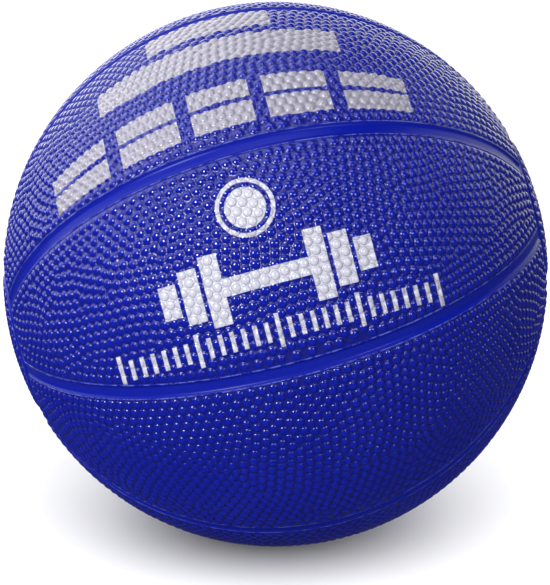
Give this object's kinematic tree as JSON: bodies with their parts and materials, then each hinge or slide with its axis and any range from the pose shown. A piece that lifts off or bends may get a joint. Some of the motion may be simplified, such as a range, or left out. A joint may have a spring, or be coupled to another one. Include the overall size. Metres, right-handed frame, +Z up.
{
  "type": "medicine ball",
  "caption": "Rubber medicine ball: pebbled cover panels and smooth seam channels bonded over a thick weighted carcass, nylon winding and air bladder, with a needle valve.",
  "frame": {"origin": "centre of the ball", "axes": "+Z up as the ball lies on the floor; the axis through the two round end panels points along +X, raised 14.2 degrees at the valve's end and turned 3.6 degrees towards +Y; the front, with the printed panels, faces -Y"},
  "size_m": [0.215, 0.2142, 0.214],
  "materials": {
    "cover": "satin moulded rubber with pebbles",
    "seam": "glossy smooth moulded rubber",
    "carcass": "matt black filled rubber",
    "winding": "wound nylon yarn in rubber cement",
    "bladder": "satin black butyl rubber",
    "valve_boot": "satin moulded rubber",
    "valve_core": "satin black rubber"
  },
  "bodies": {
    "root": {"cover_panel_1": "cover", "cover_panel_2": "cover", "cover_panel_3": "cover", "cover_panel_4": "cover", "cover_panel_5": "cover", "cover_panel_6": "cover", "cover_panel_7": "cover", "cover_panel_8": "cover", "end_panel_valve": "cover", "end_panel_plain": "cover", "seam_strip_1": "seam", "seam_strip_2": "seam", "seam_strip_3": "seam", "seam_strip_4": "seam", "seam_strip_5": "seam", "seam_strip_6": "seam", "seam_strip_7": "seam", "seam_strip_8": "seam", "seam_ring_valve": "seam", "seam_ring_plain": "seam", "carcass_half_valve": "carcass", "carcass_half_plain": "carcass", "nylon_winding": "winding", "bladder": "bladder", "valve_boot": "valve_boot", "valve_core": "valve_core"}
  },
  "joints": []
}
